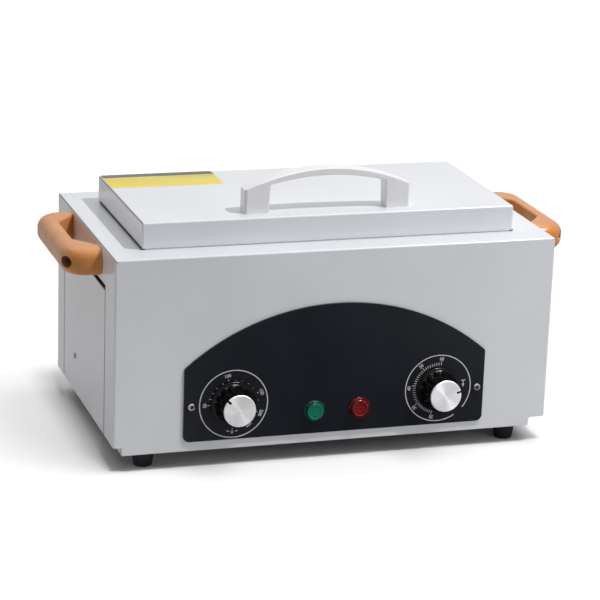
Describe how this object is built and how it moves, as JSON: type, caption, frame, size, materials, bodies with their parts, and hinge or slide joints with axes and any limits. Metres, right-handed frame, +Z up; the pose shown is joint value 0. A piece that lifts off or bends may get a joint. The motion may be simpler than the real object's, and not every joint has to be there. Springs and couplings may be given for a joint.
{
  "type": "dry heat sterilizer",
  "caption": "Bench-top dry heat sterilizer: white sheet-steel box with a hinged lid, arched black control plate, knobs, pilot lamps and moulded side handles.",
  "frame": {"origin": "on the bench plane, under the middle of the whole object's box", "axes": "+X to the right along the cabinet's width, +Y to the back away from the controls, +Z up"},
  "size_m": [0.42, 0.2494, 0.228],
  "materials": {
    "white_powder_coat": "smooth gloss powder coat on sheet steel",
    "black_plate": "satin black lacquer on aluminium",
    "galvanised_sheet": "zinc coated sheet",
    "plated_steel": "zinc plated",
    "stainless_sheet": "satin drawn stainless steel",
    "stainless_wire": "bright drawn wire",
    "nickel_plate": "bright nickel plate",
    "turned_aluminium": "fine turned rings, clear anodised",
    "brass_stud": "turned brass",
    "copper": "bright copper tube",
    "heater_sheath": "heat-darkened stainless sheath",
    "black_phenolic": "glossy black phenolic moulding",
    "caramel_phenolic": "semi-gloss orange-brown phenolic moulding",
    "white_handle": "smooth white moulding",
    "green_lens": "clear green moulding",
    "red_lens": "clear red moulding",
    "moulded_housing": "moulded housing",
    "black_nylon": "black nylon",
    "black_rubber": "matt black rubber",
    "mineral_wool": "pressed mineral wool",
    "terminal_ceramic": "unglazed ceramic",
    "wire_sleeve": "glass-fibre sleeved silicone wire",
    "dark_rivet": "blackened blind rivet"
  },
  "bodies": {
    "root": {"cabinet_shell": "white_powder_coat", "side_panel_left": "white_powder_coat", "side_panel_right": "white_powder_coat", "back_panel": "white_powder_coat", "base_tray": "galvanised_sheet", "foot_front_left": "black_rubber", "foot_front_right": "black_rubber", "foot_back_left": "black_rubber", "foot_back_right": "black_rubber", "control_plate": "black_plate", "thermostat_body": "plated_steel", "timer_body": "moulded_housing", "thermostat_nut": "nickel_plate", "timer_nut": "nickel_plate", "green_lamp_lens": "green_lens", "red_lamp_lens": "red_lens", "green_lamp_holder": "moulded_housing", "red_lamp_holder": "moulded_housing", "inner_tank": "stainless_sheet", "tank_insulation": "mineral_wool", "heat_shield": "galvanised_sheet", "instrument_basket": "stainless_sheet", "basket_handles": "stainless_wire", "heater_element": "heater_sheath", "heater_clips": "plated_steel", "overheat_cutout": "plated_steel", "thermostat_bulb": "copper", "terminal_block": "terminal_ceramic", "wiring_loom": "wire_sleeve", "earth_stud": "brass_stud", "hinge_leaf_fixed_left": "nickel_plate", "hinge_pin_left": "nickel_plate", "hinge_leaf_fixed_right": "nickel_plate", "hinge_pin_right": "nickel_plate", "side_handle_left": "caramel_phenolic", "side_handle_right": "caramel_phenolic", "cable_gland": "black_nylon", "gland_locknut": "black_nylon", "plate_screws": "nickel_plate", "foot_screws": "nickel_plate", "side_handle_screws": "nickel_plate", "back_panel_screws": "nickel_plate", "hinge_top_screws": "nickel_plate", "side_panel_rivets": "dark_rivet"},
    "lid": {"lid_shell": "white_powder_coat", "lid_liner": "stainless_sheet", "lid_insulation": "mineral_wool", "lid_handle": "white_handle", "lid_handle_screws": "nickel_plate", "hinge_leaf_moving_left": "nickel_plate", "hinge_leaf_moving_right": "nickel_plate", "hinge_lid_screws": "nickel_plate"},
    "temperature_knob": {"temperature_knob_grip": "black_phenolic", "temperature_knob_cap": "turned_aluminium", "thermostat_shaft": "plated_steel"},
    "timer_knob": {"timer_knob_grip": "black_phenolic", "timer_knob_cap": "turned_aluminium", "timer_shaft": "plated_steel"}
  },
  "joints": [
    {"name": "lid_hinge", "type": "hinge", "parent": "root", "child": "lid", "pos_m": [0, 0.0772, 0.176], "axis": [-1, 0, 0], "range_deg": [0, 100]},
    {"name": "temperature_knob_turn", "type": "hinge", "parent": "root", "child": "temperature_knob", "pos_m": [-0.085, -0.105, 0.0526], "axis": [0, 1, 0], "range_deg": [-130, 160]},
    {"name": "timer_knob_turn", "type": "hinge", "parent": "root", "child": "timer_knob", "pos_m": [0.085, -0.105, 0.0526], "axis": [0, 1, 0], "range_deg": [0, 285]}
  ]
}
